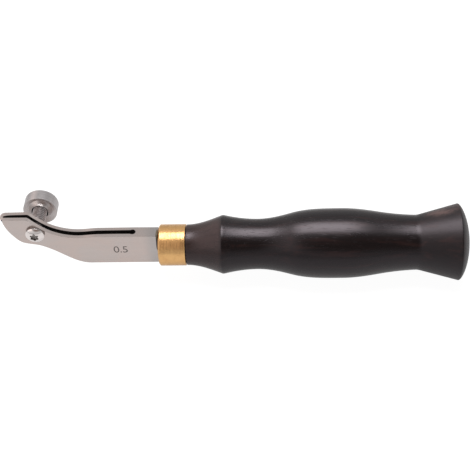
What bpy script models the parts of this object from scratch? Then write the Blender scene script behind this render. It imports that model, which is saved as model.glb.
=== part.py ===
"""Leather creaser: a slit steel blade with a screw-set spring jaw, in a turned wooden handle.

Units are metres. The tool lies along X with the blade's tip at -X and the butt of the handle
at +X. The blade stands on edge: its narrow upper edge faces +Z, its wide faces look along Y,
and the knob that opens the jaw is on the +Y side.
"""
from math import acos, asin, cos, pi, radians, sin, sqrt

import bmesh
import bpy

# Fits between pieces
SEAT_GAP = 0.0003
CUT_MARGIN = 0.002

# Blade bar
BLADE_THICKNESS = 0.00428
BLADE_WIDTH = 0.01225
SHANK_RISE = 0.00015
SHANK_LENGTH = 0.019
HEEL_FALL = 0.0002
GUIDE_REACH = 0.0009

# Upper edge of the blade from the tip: runs along the tool, heights from the shank's upper edge
TIP_FLAT = 0.0077
HEAD_RISE = 0.0080
BROW_RUN = 0.0017
BROW_DROP = 0.00135
BROW_HEADING = -46.0
SLANT_RUN = 0.0067
SLANT_LIFT = 0.0014
SLANT_HEADING = -25.0
VALLEY_RUN = 0.0079
VALLEY_DIP = 0.0004
RECOVERY_RUN = 0.0065

# Lower edge of the blade from the tip: drops from the head's flat, lifts from the shank's edge
TIP_HEADING = -84.0
TIP_CORNER = 0.0004
PROW_RUN = 0.0022
PROW_DROP = 0.0066
PROW_HEADING = -57.0
WORKING_RUN = 0.0036
WORKING_DROP = 0.0104
WORKING_HEADING = -20.0
THROAT_RUN = 0.0057
THROAT_DROP = 0.0119
THROAT_HEADING = -25.0
SWEEP_RUN = 0.0056
SWEEP_LIFT = 0.0049
SWEEP_HEADING = -37.0
TOE_RUN = 0.0098

# Slit between the jaws
FIXED_JAW_THICKNESS = 0.00143
SLIT_AT_ROOT = 0.00155
SLIT_AT_TIP = 0.00092
RELIEF_EXTRA = 0.00022
SLIT_STOP_FROM_HEEL = 0.0075

# Tang inside the handle
TANG_WIDTH = 0.0070
TANG_LENGTH = 0.045

# Adjusting screw
ADJUSTER_BEHIND_FLAT = 0.00235
ADJUSTER_BELOW_FLAT = 0.00615
STUD_RADIUS = 0.0024
STUD_CHAMFER = 0.0003
EXPOSED_THREAD = 0.0062
STUD_IN_KNOB = 0.0024
KNOB_RADIUS = 0.0057
KNOB_LENGTH = 0.0047
KNOB_CONE = 0.0009
KNOB_CHAMFER = 0.0005
KNOB_EDGE = 0.00015

# Retaining screw
SCREW_SHANK_RADIUS = 0.0014
SCREW_REACH = 0.0042
SCREW_HEAD_RADIUS = 0.0031
SCREW_HEAD_WALL = 0.0006
SCREW_HEAD_DOME = 0.0016
LOBE_RADIUS = 0.00122
LOBE_SWING = 0.00018
LOBE_COUNT = 6
LOBE_DEPTH = 0.0013

# Ferrule
FERRULE_RADIUS = 0.00695
FERRULE_WALL = 0.00085
FERRULE_LENGTH = 0.0090
FERRULE_CHAMFER_RUN = 0.0005
FERRULE_CHAMFER_DROP = 0.0006
SPIGOT_PROUD = 0.0008

# Handle, turned: lengths between stations from the ferrule to the butt, radii and headings
NECK_RADIUS = 0.0068
NECK_LENGTH = 0.0121
COLLAR_RADIUS = 0.00983
COLLAR_FRONT_HEADING = 20.5
COLLAR_BACK_HEADING = -13.5
COLLAR_TO_WAIST = 0.0116
WAIST_RADIUS = 0.00841
WAIST_TO_SWELL = 0.0095
SWELL_RADIUS = 0.00984
SWELL_HEADING = 15.5
SWELL_TO_BELLY = 0.0185
BELLY_RADIUS = 0.01162
BELLY_TO_TAPER = 0.0120
TAPER_RADIUS = 0.01036
TAPER_HEADING = -9.7
TAPER_TO_FLARE = 0.0127
FLARE_RADIUS = 0.0091
FLARE_HEADING = -1.7
FLARE_LENGTH = 0.0131
RIM_RADIUS = 0.0127
DOME_HEIGHT = 0.0035
DOME_FULLNESS = 1.4

# Smoothness of round shapes
TURNED_SEGMENTS = 40
SMALL_SEGMENTS = 32
RUN_STEPS = 5
DOME_STEPS = 7
ARC_STEPS = 10
LOBE_STEPS = 8
SMOOTH_ANGLE = 30.0

# Stations along the tool, from the fixed jaw's tip
BROW_STATION = TIP_FLAT + BROW_RUN
SLANT_STATION = BROW_STATION + SLANT_RUN
VALLEY_STATION = SLANT_STATION + VALLEY_RUN
SHANK_STATION = VALLEY_STATION + RECOVERY_RUN
HEEL_STATION = SHANK_STATION + SHANK_LENGTH
SLIT_STOP = HEEL_STATION - SLIT_STOP_FROM_HEEL
SPIGOT_STATION = HEEL_STATION + SEAT_GAP
FERRULE_STATION = SPIGOT_STATION + SPIGOT_PROUD
SHOULDER_STATION = FERRULE_STATION + FERRULE_LENGTH + SEAT_GAP
RIM_FROM_SHOULDER = (
    NECK_LENGTH + COLLAR_TO_WAIST + WAIST_TO_SWELL + SWELL_TO_BELLY
    + BELLY_TO_TAPER + TAPER_TO_FLARE + FLARE_LENGTH
)
OVERALL_LENGTH = GUIDE_REACH + SHOULDER_STATION + RIM_FROM_SHOULDER + DOME_HEIGHT

# Heights above the tool's axis
SHANK_TOP = SHANK_RISE + BLADE_WIDTH / 2
SHANK_BOTTOM = SHANK_RISE - BLADE_WIDTH / 2
HEAD_TOP = SHANK_TOP + HEAD_RISE

# Places across the blade, from its mid-plane towards the knob
NEAR_FACE = -BLADE_THICKNESS / 2
FAR_FACE = BLADE_THICKNESS / 2
FIXED_INNER_FACE = NEAR_FACE + FIXED_JAW_THICKNESS
SPRING_INNER_ROOT = FIXED_INNER_FACE + SLIT_AT_ROOT
SPRING_JAW_THICKNESS = FAR_FACE - SPRING_INNER_ROOT
SLIT_MIDDLE = FIXED_INNER_FACE + SLIT_AT_ROOT / 2
RELIEF_RADIUS = SLIT_AT_ROOT / 2 + RELIEF_EXTRA

# Adjusting screw's axis, and where its pieces sit along it
ADJUSTER_STATION = TIP_FLAT + ADJUSTER_BEHIND_FLAT
ADJUSTER_HEIGHT = HEAD_TOP - ADJUSTER_BELOW_FLAT


def slit_width(station):
    """Gap between the jaws at a station, closing evenly from the slit's stop to the tip."""
    return SLIT_AT_TIP + (SLIT_AT_ROOT - SLIT_AT_TIP) * station / SLIT_STOP


SPRING_FACE_AT_STUD = FIXED_INNER_FACE + slit_width(ADJUSTER_STATION) + SPRING_JAW_THICKNESS
KNOB_BOSS = SPRING_FACE_AT_STUD + EXPOSED_THREAD
KNOB_RIM = KNOB_BOSS + KNOB_CONE
KNOB_END = KNOB_RIM + KNOB_LENGTH
STUD_FOOT = FIXED_INNER_FACE + SEAT_GAP
STUD_END = KNOB_BOSS + STUD_IN_KNOB
SCREW_SEAT = NEAR_FACE - SEAT_GAP
SCREW_TIP = STUD_FOOT + SCREW_REACH


def clear_scene():
    """Remove every object that the file starts with."""
    for leftover in list(bpy.data.objects):
        bpy.data.objects.remove(leftover)


def new_collection(name):
    """A collection linked to the scene."""
    collection = bpy.data.collections.new(name)
    bpy.context.scene.collection.children.link(collection)
    return collection


def finish(name, colour, roughness, metallic):
    """A plain surface finish."""
    surface = bpy.data.materials.new(name)
    surface.use_nodes = True
    shader = surface.node_tree.nodes["Principled BSDF"]
    shader.inputs["Base Color"].default_value = (*colour, 1.0)
    shader.inputs["Roughness"].default_value = roughness
    shader.inputs["Metallic"].default_value = metallic
    return surface


def datum(name, parent, location, rotation=(0.0, 0.0, 0.0)):
    """An empty that carries pieces."""
    empty = bpy.data.objects.new(name, None)
    empty.location = location
    empty.rotation_euler = rotation
    empty.parent = parent
    PARTS.objects.link(empty)
    return empty


def smooth_run(start, end, steps=RUN_STEPS):
    """Points of a smooth curve after its start; both ends are (along, across, heading in degrees)."""
    reach = sqrt((end[0] - start[0]) ** 2 + (end[1] - start[1]) ** 2) / 3
    lead = (start[0] + reach * cos(radians(start[2])), start[1] + reach * sin(radians(start[2])))
    trail = (end[0] - reach * cos(radians(end[2])), end[1] - reach * sin(radians(end[2])))
    points = []
    for step in range(1, steps + 1):
        t = step / steps
        weights = ((1 - t) ** 3, 3 * t * (1 - t) ** 2, 3 * t * t * (1 - t), t ** 3)
        along = sum(w * p[0] for w, p in zip(weights, (start, lead, trail, end)))
        across = sum(w * p[1] for w, p in zip(weights, (start, lead, trail, end)))
        points.append((along, across))
    return points


def smooth_chain(nodes):
    """Points along a chain of smooth runs, from the first node to the last."""
    points = [nodes[0][:2]]
    for start, end in zip(nodes, nodes[1:]):
        points += smooth_run(start, end)
    return points


def circle_arc(centre, radius, start, stop):
    """Points along part of a circle, both ends included, with angles in radians."""
    angles = [start + (stop - start) * step / ARC_STEPS for step in range(ARC_STEPS + 1)]
    return [(centre[0] + radius * cos(a), centre[1] + radius * sin(a)) for a in angles]


def shade(mesh):
    """Smooth shading that keeps the sharp edges."""
    mesh.shade_smooth()
    mesh.set_sharp_from_angle(angle=radians(SMOOTH_ANGLE))


def slab(name, outline, half_depth, collection):
    """A flat outline in local XY as a solid that reaches half_depth to each side of it."""
    curve = bpy.data.curves.new(name, "CURVE")
    curve.dimensions = "2D"
    curve.fill_mode = "BOTH"
    curve.extrude = half_depth
    spline = curve.splines.new("POLY")
    spline.points.add(len(outline) - 1)
    for point, (x, y) in zip(spline.points, outline):
        point.co = (x, y, 0.0, 1.0)
    spline.use_cyclic_u = True
    drawn = bpy.data.objects.new(name + "_outline", curve)
    bpy.context.scene.collection.objects.link(drawn)
    bpy.context.view_layer.update()
    evaluated = drawn.evaluated_get(bpy.context.evaluated_depsgraph_get())
    mesh = bpy.data.meshes.new_from_object(evaluated)
    bpy.data.objects.remove(drawn)
    work = bmesh.new()
    work.from_mesh(mesh)
    bmesh.ops.remove_doubles(work, verts=work.verts, dist=1e-7)
    bmesh.ops.recalc_face_normals(work, faces=work.faces)
    work.to_mesh(mesh)
    work.free()
    mesh.name = name
    solid = bpy.data.objects.new(name, mesh)
    collection.objects.link(solid)
    return solid


def turned(name, profile, segments, closed=False):
    """A profile of (radius, height) points, top to bottom on its outer side, turned about Z."""
    mesh = bpy.data.meshes.new(name)
    edges = [(i, i + 1) for i in range(len(profile) - 1)]
    if closed:
        edges.append((len(profile) - 1, 0))
    mesh.from_pydata([(radius, 0.0, height) for radius, height in profile], edges, [])
    piece = bpy.data.objects.new(name, mesh)
    PARTS.objects.link(piece)
    lathe = piece.modifiers.new("turn", "SCREW")
    lathe.axis = "Z"
    lathe.angle = 2 * pi
    lathe.steps = segments
    lathe.render_steps = segments
    lathe.use_merge_vertices = True
    lathe.merge_threshold = 1e-6
    lathe.use_smooth_shade = True
    return piece


def as_cutter(piece):
    """Mark a solid as a cutting shape."""
    piece.hide_render = True
    piece.display_type = "WIRE"
    return piece


def combine(piece, cutter, operation):
    """Cut a piece with a cutting shape, or keep only what lies inside it."""
    step = piece.modifiers.new(operation.lower(), "BOOLEAN")
    step.operation = operation
    step.object = cutter
    step.solver = "EXACT"


def new_cutter(name, parent, location):
    """Make the primitive just added a cutting shape, carried by a parent."""
    cutter = bpy.context.object
    cutter.name = name
    for owner in list(cutter.users_collection):
        owner.objects.unlink(cutter)
    CUTTERS.objects.link(cutter)
    cutter.parent = parent
    cutter.location = location
    return as_cutter(cutter)


def blade_outline(tip):
    """The bar seen from its wide side, (station, height), from the shank round the tip to the heel."""
    upper = smooth_chain((
        (SHANK_STATION, SHANK_TOP, 180.0),
        (VALLEY_STATION, SHANK_TOP - VALLEY_DIP, 180.0),
        (SLANT_STATION, SHANK_TOP + SLANT_LIFT, 180.0 + SLANT_HEADING),
        (BROW_STATION, HEAD_TOP - BROW_DROP, 180.0 + BROW_HEADING),
        (TIP_FLAT, HEAD_TOP, 180.0),
    ))
    prow = PROW_RUN
    working = prow + WORKING_RUN
    throat = working + THROAT_RUN
    sweep = throat + SWEEP_RUN
    lower = smooth_chain((
        (tip, HEAD_TOP - TIP_CORNER, TIP_HEADING),
        (prow, HEAD_TOP - PROW_DROP, PROW_HEADING),
        (working, HEAD_TOP - WORKING_DROP, WORKING_HEADING),
        (throat, HEAD_TOP - THROAT_DROP, THROAT_HEADING),
        (sweep, SHANK_BOTTOM + SWEEP_LIFT, SWEEP_HEADING),
        (sweep + TOE_RUN, SHANK_BOTTOM, 0.0),
    ))
    tang_end = HEEL_STATION + TANG_LENGTH
    tang = [
        (HEEL_STATION, SHANK_BOTTOM),
        (HEEL_STATION, -TANG_WIDTH / 2),
        (tang_end, -TANG_WIDTH / 2),
        (tang_end, TANG_WIDTH / 2),
        (HEEL_STATION, TANG_WIDTH / 2),
        (HEEL_STATION, SHANK_TOP - HEEL_FALL),
    ]
    return upper + [(tip + TIP_CORNER, HEAD_TOP)] + lower + tang


def fixed_jaw_plan():
    """The fixed jaw, shank and tang seen from above, (station, place across the blade)."""
    relief = (SLIT_STOP, SLIT_MIDDLE)
    seam = acos(SEAT_GAP / RELIEF_RADIUS)
    mouth = pi - asin((SLIT_MIDDLE - FIXED_INNER_FACE) / RELIEF_RADIUS)
    bore = circle_arc(relief, RELIEF_RADIUS, seam, -mouth)
    far_end = HEEL_STATION + TANG_LENGTH + CUT_MARGIN
    return [
        (-CUT_MARGIN, NEAR_FACE),
        (far_end, NEAR_FACE),
        (far_end, FAR_FACE),
        (SLIT_STOP + SEAT_GAP, FAR_FACE),
    ] + bore + [(-CUT_MARGIN, FIXED_INNER_FACE)]


def spring_jaw_plan():
    """The spring jaw seen from above, (station, place across the blade)."""
    relief = (SLIT_STOP, SLIT_MIDDLE)
    mouth = pi - asin((SPRING_INNER_ROOT - SLIT_MIDDLE) / RELIEF_RADIUS)
    bore = circle_arc(relief, RELIEF_RADIUS, pi / 2, mouth)
    inner_tip = FIXED_INNER_FACE + slit_width(-CUT_MARGIN)
    return [(SLIT_STOP, FAR_FACE)] + bore + [
        (-CUT_MARGIN, inner_tip),
        (-CUT_MARGIN, inner_tip + SPRING_JAW_THICKNESS),
    ]


def jaw(name, tip, plan, parent, offset, surface):
    """A jaw: the bar's side outline, kept where it lies inside the plan."""
    piece = slab(name, blade_outline(tip), BLADE_THICKNESS, PARTS)
    piece.parent = parent
    piece.location = offset
    piece.rotation_euler = (pi / 2, 0.0, 0.0)
    template = as_cutter(slab(name + "_plan", plan, 2 * HEAD_TOP, CUTTERS))
    template.parent = parent
    template.location = offset
    combine(piece, template, "INTERSECT")
    piece.data.materials.append(surface)
    return piece


def across_blade(name, radius, offset, parent):
    """A round cutting bar along the adjusting screw's axis."""
    place = (ADJUSTER_STATION + offset[0], offset[1], ADJUSTER_HEIGHT + offset[2])
    reach = 4 * BLADE_THICKNESS
    bpy.ops.mesh.primitive_cylinder_add(vertices=SMALL_SEGMENTS, radius=radius, depth=reach)
    bar = new_cutter(name, parent, place)
    bar.rotation_euler = (pi / 2, 0.0, 0.0)
    return bar


def make_blade(tool, steel):
    """The two jaws, with the adjusting screw's holes."""
    at_tool = (0.0, 0.0, 0.0)
    fixed = jaw("fixed_jaw", 0.0, fixed_jaw_plan(), tool, at_tool, steel)
    fixed_hole = across_blade("fixed_hole", SCREW_SHANK_RADIUS + SEAT_GAP, at_tool, tool)
    combine(fixed, fixed_hole, "DIFFERENCE")
    root = datum("flexure_axis", tool, (SLIT_STOP, FAR_FACE, 0.0))
    from_root = (-SLIT_STOP, -FAR_FACE, 0.0)
    spring = jaw("spring_jaw", -GUIDE_REACH, spring_jaw_plan(), root, from_root, steel)
    spring_hole = across_blade("spring_hole", STUD_RADIUS + SEAT_GAP, from_root, root)
    combine(spring, spring_hole, "DIFFERENCE")


def make_knob(adjuster, steel):
    """The thumb knob, with a blind bore for the stud."""
    bore = STUD_RADIUS + SEAT_GAP
    bore_end = STUD_END + SEAT_GAP
    knob = turned("adjuster_knob", [
        (0.0, KNOB_END),
        (KNOB_RADIUS - KNOB_CHAMFER, KNOB_END),
        (KNOB_RADIUS, KNOB_END - KNOB_CHAMFER),
        (KNOB_RADIUS, KNOB_RIM + KNOB_EDGE),
        (KNOB_RADIUS - KNOB_EDGE, KNOB_RIM),
        (bore, KNOB_BOSS),
        (bore, bore_end),
        (0.0, bore_end),
    ], SMALL_SEGMENTS)
    knob.parent = adjuster
    knob.data.materials.append(steel)


def make_stud(adjuster, steel):
    """The threaded stud, bored from its foot for the retaining screw."""
    bore = SCREW_SHANK_RADIUS + SEAT_GAP
    bore_end = SCREW_TIP + SEAT_GAP
    stud = turned("adjuster_stud", [
        (0.0, STUD_END),
        (STUD_RADIUS - STUD_CHAMFER, STUD_END),
        (STUD_RADIUS, STUD_END - STUD_CHAMFER),
        (STUD_RADIUS, STUD_FOOT + STUD_CHAMFER),
        (STUD_RADIUS - STUD_CHAMFER, STUD_FOOT),
        (bore, STUD_FOOT),
        (bore, bore_end),
        (0.0, bore_end),
    ], SMALL_SEGMENTS)
    stud.parent = adjuster
    stud.data.materials.append(steel)


def make_retaining_screw(adjuster, steel):
    """The domed screw that holds the stud to the fixed jaw, with its six-lobed socket."""
    wall_end = SCREW_SEAT - SCREW_HEAD_WALL
    dome = []
    for step in range(DOME_STEPS + 1):
        turn = pi / 2 * step / DOME_STEPS
        dome.append((SCREW_HEAD_RADIUS * cos(turn), wall_end - SCREW_HEAD_DOME * sin(turn)))
    dome[-1] = (0.0, wall_end - SCREW_HEAD_DOME)
    screw = turned("retaining_screw", [
        (0.0, SCREW_TIP),
        (SCREW_SHANK_RADIUS, SCREW_TIP),
        (SCREW_SHANK_RADIUS, SCREW_SEAT),
        (SCREW_HEAD_RADIUS, SCREW_SEAT),
    ] + dome, SMALL_SEGMENTS)
    screw.parent = adjuster
    screw.data.materials.append(steel)
    lobes = []
    for step in range(LOBE_COUNT * LOBE_STEPS):
        turn = 2 * pi * step / (LOBE_COUNT * LOBE_STEPS)
        reach = LOBE_RADIUS + LOBE_SWING * cos(LOBE_COUNT * turn)
        lobes.append((reach * cos(turn), reach * sin(turn)))
    socket = as_cutter(slab("socket", lobes, LOBE_DEPTH, CUTTERS))
    socket.parent = adjuster
    socket.location = (0.0, 0.0, wall_end - SCREW_HEAD_DOME)
    combine(screw, socket, "DIFFERENCE")


def make_ferrule(tool, brass):
    """The brass ring round the handle's spigot, chamfered at its front."""
    bore = FERRULE_RADIUS - FERRULE_WALL
    ring = turned("ferrule", [
        (FERRULE_RADIUS, FERRULE_LENGTH),
        (FERRULE_RADIUS, FERRULE_CHAMFER_RUN),
        (FERRULE_RADIUS - FERRULE_CHAMFER_DROP, 0.0),
        (bore, 0.0),
        (bore, FERRULE_LENGTH),
    ], TURNED_SEGMENTS, closed=True)
    ring.parent = tool
    ring.location = (FERRULE_STATION, 0.0, 0.0)
    ring.rotation_euler = (0.0, pi / 2, 0.0)
    ring.data.materials.append(brass)


def handle_profile():
    """The handle's outside, (radius, distance from the shoulder), from the butt to the spigot."""
    waist = NECK_LENGTH + COLLAR_TO_WAIST
    swell = waist + WAIST_TO_SWELL
    belly = swell + SWELL_TO_BELLY
    taper = belly + BELLY_TO_TAPER
    flare = taper + TAPER_TO_FLARE
    neck = smooth_chain(((0.0, NECK_RADIUS, 0.0), (NECK_LENGTH, COLLAR_RADIUS, COLLAR_FRONT_HEADING)))
    grip = smooth_chain((
        (NECK_LENGTH, COLLAR_RADIUS, COLLAR_BACK_HEADING),
        (waist, WAIST_RADIUS, 0.0),
        (swell, SWELL_RADIUS, SWELL_HEADING),
        (belly, BELLY_RADIUS, 0.0),
        (taper, TAPER_RADIUS, TAPER_HEADING),
        (flare, FLARE_RADIUS, FLARE_HEADING),
    ))
    dome = []
    for step in range(DOME_STEPS + 1):
        turn = pi / 2 * (1 - step / DOME_STEPS)
        rise = DOME_HEIGHT * max(0.0, cos(turn)) ** DOME_FULLNESS
        dome.append((RIM_FROM_SHOULDER + rise, RIM_RADIUS * sin(turn)))
    dome[0] = (RIM_FROM_SHOULDER, RIM_RADIUS)
    dome[-1] = (RIM_FROM_SHOULDER + DOME_HEIGHT, 0.0)
    outside = neck + grip[1:] + dome
    spigot_radius = FERRULE_RADIUS - FERRULE_WALL - SEAT_GAP
    spigot_end = SPIGOT_STATION - SHOULDER_STATION
    profile = [(radius, along) for along, radius in reversed(outside)]
    return profile + [(spigot_radius, 0.0), (spigot_radius, spigot_end), (0.0, spigot_end)]


def make_handle(tool, wood):
    """The turned wooden handle, slotted for the tang."""
    handle = turned("handle", handle_profile(), TURNED_SEGMENTS)
    handle.parent = tool
    handle.location = (SHOULDER_STATION, 0.0, 0.0)
    handle.rotation_euler = (0.0, pi / 2, 0.0)
    handle.data.materials.append(wood)
    slot_start = SPIGOT_STATION - CUT_MARGIN
    slot_end = HEEL_STATION + TANG_LENGTH + SEAT_GAP
    bpy.ops.mesh.primitive_cube_add(size=1.0)
    slot = new_cutter("tang_slot", tool, ((slot_start + slot_end) / 2, 0.0, 0.0))
    slot.scale = (slot_end - slot_start, BLADE_THICKNESS + 2 * SEAT_GAP, TANG_WIDTH + 2 * SEAT_GAP)
    combine(handle, slot, "DIFFERENCE")


clear_scene()
PARTS = new_collection("leather_creaser")
CUTTERS = new_collection("cutters")

satin_steel = finish("satin_steel", (0.55, 0.52, 0.50), 0.35, 1.0)
turned_steel = finish("turned_steel", (0.60, 0.57, 0.55), 0.25, 1.0)
screw_steel = finish("screw_steel", (0.70, 0.68, 0.67), 0.2, 1.0)
yellow_brass = finish("yellow_brass", (0.72, 0.48, 0.20), 0.25, 1.0)
dark_wood = finish("dark_wood", (0.025, 0.018, 0.016), 0.35, 0.0)

tool_axis = datum("tool_axis", None, (GUIDE_REACH - OVERALL_LENGTH / 2, 0.0, RIM_RADIUS))
adjuster_axis = datum(
    "adjuster_axis", tool_axis, (ADJUSTER_STATION, 0.0, ADJUSTER_HEIGHT), (-pi / 2, 0.0, 0.0)
)

make_handle(tool_axis, dark_wood)
make_ferrule(tool_axis, yellow_brass)
make_blade(tool_axis, satin_steel)
make_stud(adjuster_axis, turned_steel)
make_knob(adjuster_axis, turned_steel)
make_retaining_screw(adjuster_axis, screw_steel)

bpy.context.view_layer.update()
for piece in PARTS.objects:
    if piece.type == "MESH":
        shade(piece.data)
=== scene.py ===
"""Leather creaser: the finished look of a slit steel blade in a turned dark wooden handle.

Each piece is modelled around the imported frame, in metres, with the blade's tip at -X, the butt of
the handle at +X, the blade's narrow upper edge facing +Z and the thumb knob on the +Y side.
"""
from math import asin, cos, exp, hypot, pi, radians, sin, sqrt

import bmesh
import bpy
from bpy.props import FloatProperty, FloatVectorProperty, IntProperty, PointerProperty, StringProperty
from mathutils import Matrix, Vector


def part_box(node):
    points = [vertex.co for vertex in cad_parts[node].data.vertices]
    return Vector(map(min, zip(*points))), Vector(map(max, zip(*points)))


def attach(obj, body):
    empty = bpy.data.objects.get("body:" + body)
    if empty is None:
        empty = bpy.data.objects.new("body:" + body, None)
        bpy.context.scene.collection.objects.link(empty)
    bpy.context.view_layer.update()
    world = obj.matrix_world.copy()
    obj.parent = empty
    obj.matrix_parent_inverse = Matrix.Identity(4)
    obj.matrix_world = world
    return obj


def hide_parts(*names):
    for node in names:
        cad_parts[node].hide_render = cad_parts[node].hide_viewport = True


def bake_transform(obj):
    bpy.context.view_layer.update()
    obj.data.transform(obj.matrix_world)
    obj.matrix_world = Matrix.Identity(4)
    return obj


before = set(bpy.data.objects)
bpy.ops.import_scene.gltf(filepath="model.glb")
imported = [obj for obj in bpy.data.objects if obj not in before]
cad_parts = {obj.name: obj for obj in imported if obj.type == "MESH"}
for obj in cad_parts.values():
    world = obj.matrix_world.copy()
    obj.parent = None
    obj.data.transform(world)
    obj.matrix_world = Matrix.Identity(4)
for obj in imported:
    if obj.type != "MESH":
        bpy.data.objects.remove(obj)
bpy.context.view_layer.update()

bl_info = {
    "name": "Leather creaser",
    "version": (1, 0, 0),
    "blender": (4, 5, 0),
    "location": "3D View > Sidebar > Creaser",
    "description": "Models a screw creaser for leather piece by piece around its frame",
    "category": "Object",
}

MM = 0.001


def half_height(node):
    """Half the height of a node's box, which is the radius of a turned one."""
    low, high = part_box(node)
    return (high.z - low.z) / 2


# Places taken from the frame
AXIS_HEIGHT = sum(corner.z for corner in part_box("handle")) / 2
ON_AXIS = (0, 0, AXIS_HEIGHT)
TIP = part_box("fixed_jaw")[0].x
FERRULE_FRONT, FERRULE_BACK = (corner.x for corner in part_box("ferrule"))
SPIGOT_FRONT = FERRULE_FRONT - 0.05 * MM
SHOULDER = FERRULE_BACK + 0.3 * MM
NEAR_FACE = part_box("fixed_jaw")[0].y
FAR_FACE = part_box("fixed_jaw")[1].y + 0.25 * MM
KNOB_BOSS, KNOB_END = (corner.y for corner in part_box("adjuster_knob"))
STUD_FOOT, STUD_END = (corner.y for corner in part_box("adjuster_stud"))
STUD_RADIUS = half_height("adjuster_stud")
SCREW_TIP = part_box("retaining_screw")[1].y
ADJUSTER = sum(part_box("adjuster_knob"), Vector()) / 2
ADJUSTER.y = 0.0

# Turned handle: millimetres from the shoulder, radius in millimetres, heading in degrees
NECK_NODES = ((0.0, 6.8, 0.0), (11.85, 9.82, 20.5))
GRIP_NODES = (
    (12.4, 9.82, -13.5), (23.7, 8.41, 0.0), (34.7, 10.25, 15.3),
    (51.7, 11.62, 0.0), (63.7, 10.36, -9.7), (76.4, 9.1, -1.7),
)
RIM_NODE = (89.6, 12.7)
RIM_LAND = 0.2
SHOULDER_ROUND = 0.2
DOME_HEIGHT = 3.55
DOME_FULLNESS = 1.4
SPIGOT_RADIUS = 5.8

# Blade edges: millimetres from the fixed jaw's tip, height above the tool's axis, heading in degrees
HEAD_TOP = 14.275
TIP_CORNER = (0.4, 0.4)
GUIDE_CORNER = (0.6, 0.45)
UPPER_NODES = (
    (7.7, HEAD_TOP, 0.0), (9.4, 12.925, -46.0), (16.1, 7.675, -25.0),
    (24.0, 5.875, 0.0), (30.5, 6.275, 0.0),
)
LOWER_NODES = (
    (2.2, 7.675, -57.0), (5.8, 3.875, -20.0), (11.5, 2.375, -25.0),
    (17.1, -1.075, -37.0), (26.9, -5.975, 0.0),
)
GUIDE_NODES = ((1.6, 7.675, -58.0),) + LOWER_NODES[1:]
TIP_HEADING = -84.0
HEEL = ((SPIGOT_FRONT - TIP) / MM - 0.02, 6.075, -5.975)
GUIDE_REACH = 1.2
GUIDE_LEAD = (1.9, 1.15)

# Slit between the jaws, in millimetres
SLIT_STOP = 42.0
SLIT_OPEN_END = -3.0
SLIT_OPEN_SIDE = 3.0
SLIT_FLOOR = -10.0
SLIT_HEIGHT = 60.0
FIXED_INNER = -0.71
SLIT_BOW = ((36.0, -0.72), (30.0, -0.84), (24.0, -0.90), (16.0, -0.86), (8.0, -0.76))
SLIT_AT_ROOT = 1.80
SLIT_AT_TIP = 1.17
SPRING_THICKNESS = 1.30
RELIEF_RADIUS = 1.1

# Tang, and its slot in the handle from a middle behind the spigot's front
TANG_REACH = 45 * MM
TANG_SHARES = (1, 0.98, 0.58)
TANG_SLOT = (47 * MM, 4.88 * MM, 7.6 * MM)
TANG_SLOT_MIDDLE = 22 * MM

# Retaining screw: what its head gains on the frame's and stands off the blade, and its roundings
HEAD_SPREAD = 0.02 * MM
HEAD_GAP = 0.03 * MM
SCREW_ROUNDS = (0.2 * MM, 0, 0.08 * MM)
CROWN_ROUND = 0.05 * MM

# Radii on the adjusting screw's axis
SCREW_SHANK = 1.4 * MM
SCREW_HOLE = 1.7 * MM
STUD_HOLE = 2.6 * MM

# Shares of a pitch where the thread's valley, flanks and crest start and end
THREAD_SHARES = (0.0, 0.10, 0.43, 0.57, 0.90, 1.0)

# Spring jaw: where its root runs into the relief hole, shares of that run for extra stations, and the
# bright part of its tip left out of the painted slit shade
ROOT_RUN = 0.624
ROOT_SHARES = (1.0, 0.8, 0.6, 0.4, 0.2)
LIT_DEPTH = 1.6
LIT_REACH = 0.5 * MM

# Size number: its place, the height of a figure in a unit of text, and its spacing
MARK_PLACE = -38.3 * MM
MARK_LIFT = 0.1 * MM
FIGURE_HEIGHT = 0.72
MARK_SPACING = 0.98

# Zones along the handle, from one place to another, and the middle of the pale grain
NECK_FADE = (-0.0056, -0.0040)
FLARE_FADE = (0.0595, 0.0615)
PALE_SPOT = (0.069, 0.0045, AXIS_HEIGHT + 0.0105)
PALE_STRETCH = (105, 190, 190)

# Knob: its bore past the stud, boss and cove, fine grooves and the shallow dish in its far end
BORE_SPARE = 0.3 * MM
BOSS_LIP = (0.3 * MM, 0.12 * MM)
COVE_HEADINGS = (12.0, 52.0)
BOSS_ROUNDS = (0, 0.03 * MM, 0.04 * MM)
RIM_ROUNDS = (0.06 * MM, 0.02 * MM, 0.02 * MM)
GROOVE_SIZE = (0.09 * MM, 0.007 * MM)
END_LAND = 1.3 * MM
END_DISH = (0.12 * MM, 1.5 * MM)
END_ROUND = 0.07 * MM

# Bead of glue at the shank's foot: place across, height above the axis and radius in millimetres
BEAD_NODES = (
    (1.0, 6.25, 0.10), (-0.5, 6.3, 0.20), (-1.7, 6.25, 0.27), (-2.25, 5.6, 0.30), (-2.25, 4.3, 0.25),
    (-2.3, 2.7, 0.30), (-2.3, 1.3, 0.32), (-2.25, 0.2, 0.25), (-2.15, -0.8, 0.10),
)
BEAD_OFFSET = 0.36 * MM
BEAD_WOBBLE = 0.05 * MM

# Smoothness of drawn curves and turned shapes; steps along a jaw in millimetres
FIRST_STEP = 0.14
STEP_GROWTH = 1.12
LONGEST_STEP = 0.45
RUN_STEPS = 14
CORNER_STEPS = 6
TURNED_STEPS = 128
SMALL_STEPS = 96
RELIEF_STEPS = 24
THREAD_STEPS = 48
MERGE = 1e-6
SMOOTH_ANGLE = radians(32)

# Pieces that each power of the softbox lights
FULL_LIT = ("wood_handle", "glue_bead", "lobed_screw", "floor")
HALF_LIT = ("brass_ferrule", "thumb_knob", "threaded_stud")
LOW_LIT = ("blade", "spring_leaf")

# Directions of the dim parts of the studio, behind the camera and to its right
DIM_SIDE = (0.20, -0.69, 0.70)
DIM_CORNER = (0.66, -0.50, 0.56)

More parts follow.
